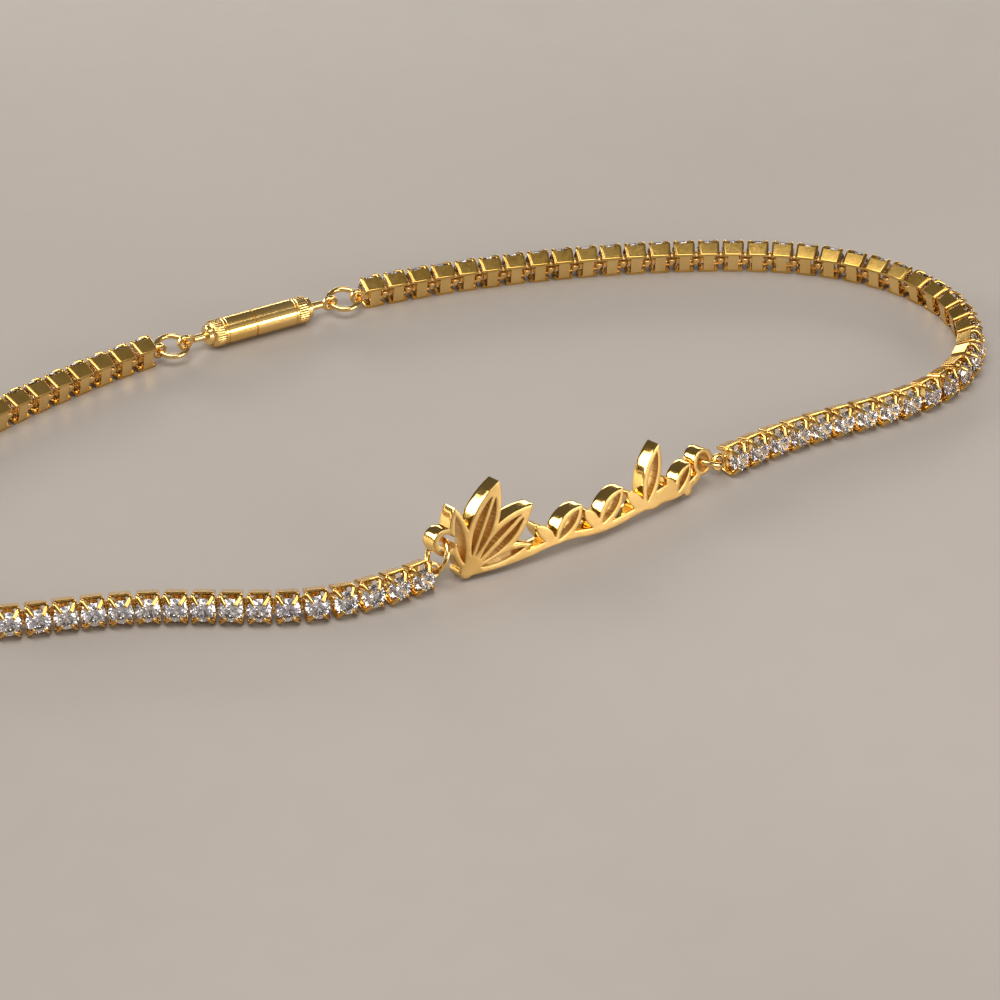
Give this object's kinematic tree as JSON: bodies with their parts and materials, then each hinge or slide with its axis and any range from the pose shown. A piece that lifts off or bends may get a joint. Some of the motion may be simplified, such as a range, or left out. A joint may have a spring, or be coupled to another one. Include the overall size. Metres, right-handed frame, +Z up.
{
  "type": "nameplate bracelet",
  "caption": "Closed bracelet of claw-set round stones in hinged links, with a curved openwork leaf plate at the front and a barrel clasp behind.",
  "frame": {"origin": "middle of the loop's bounding box, on the floor it stands on", "axes": "+X along the plate from its left end to its right, the longest way; -Y is the plate's front; +Z up, the shortest way, with the strand standing on its edge"},
  "size_m": [0.0886, 0.0394, 0.0067],
  "materials": {
    "plate_gold": "polished gold plating, satin on the front",
    "link_gold": "polished gold plating",
    "ring_gold": "polished gold plating",
    "clasp_gold": "polished gold plating",
    "stone": "clear faceted stone"
  },
  "bodies": {
    "root": {"nameplate": "plate_gold", "left_ring": "ring_gold", "right_ring": "ring_gold", "left_links": "link_gold", "left_stones": "stone", "right_links": "link_gold", "right_stones": "stone", "clasp": "clasp_gold", "clasp_ring_left": "ring_gold", "clasp_ring_right": "ring_gold"}
  },
  "joints": []
}
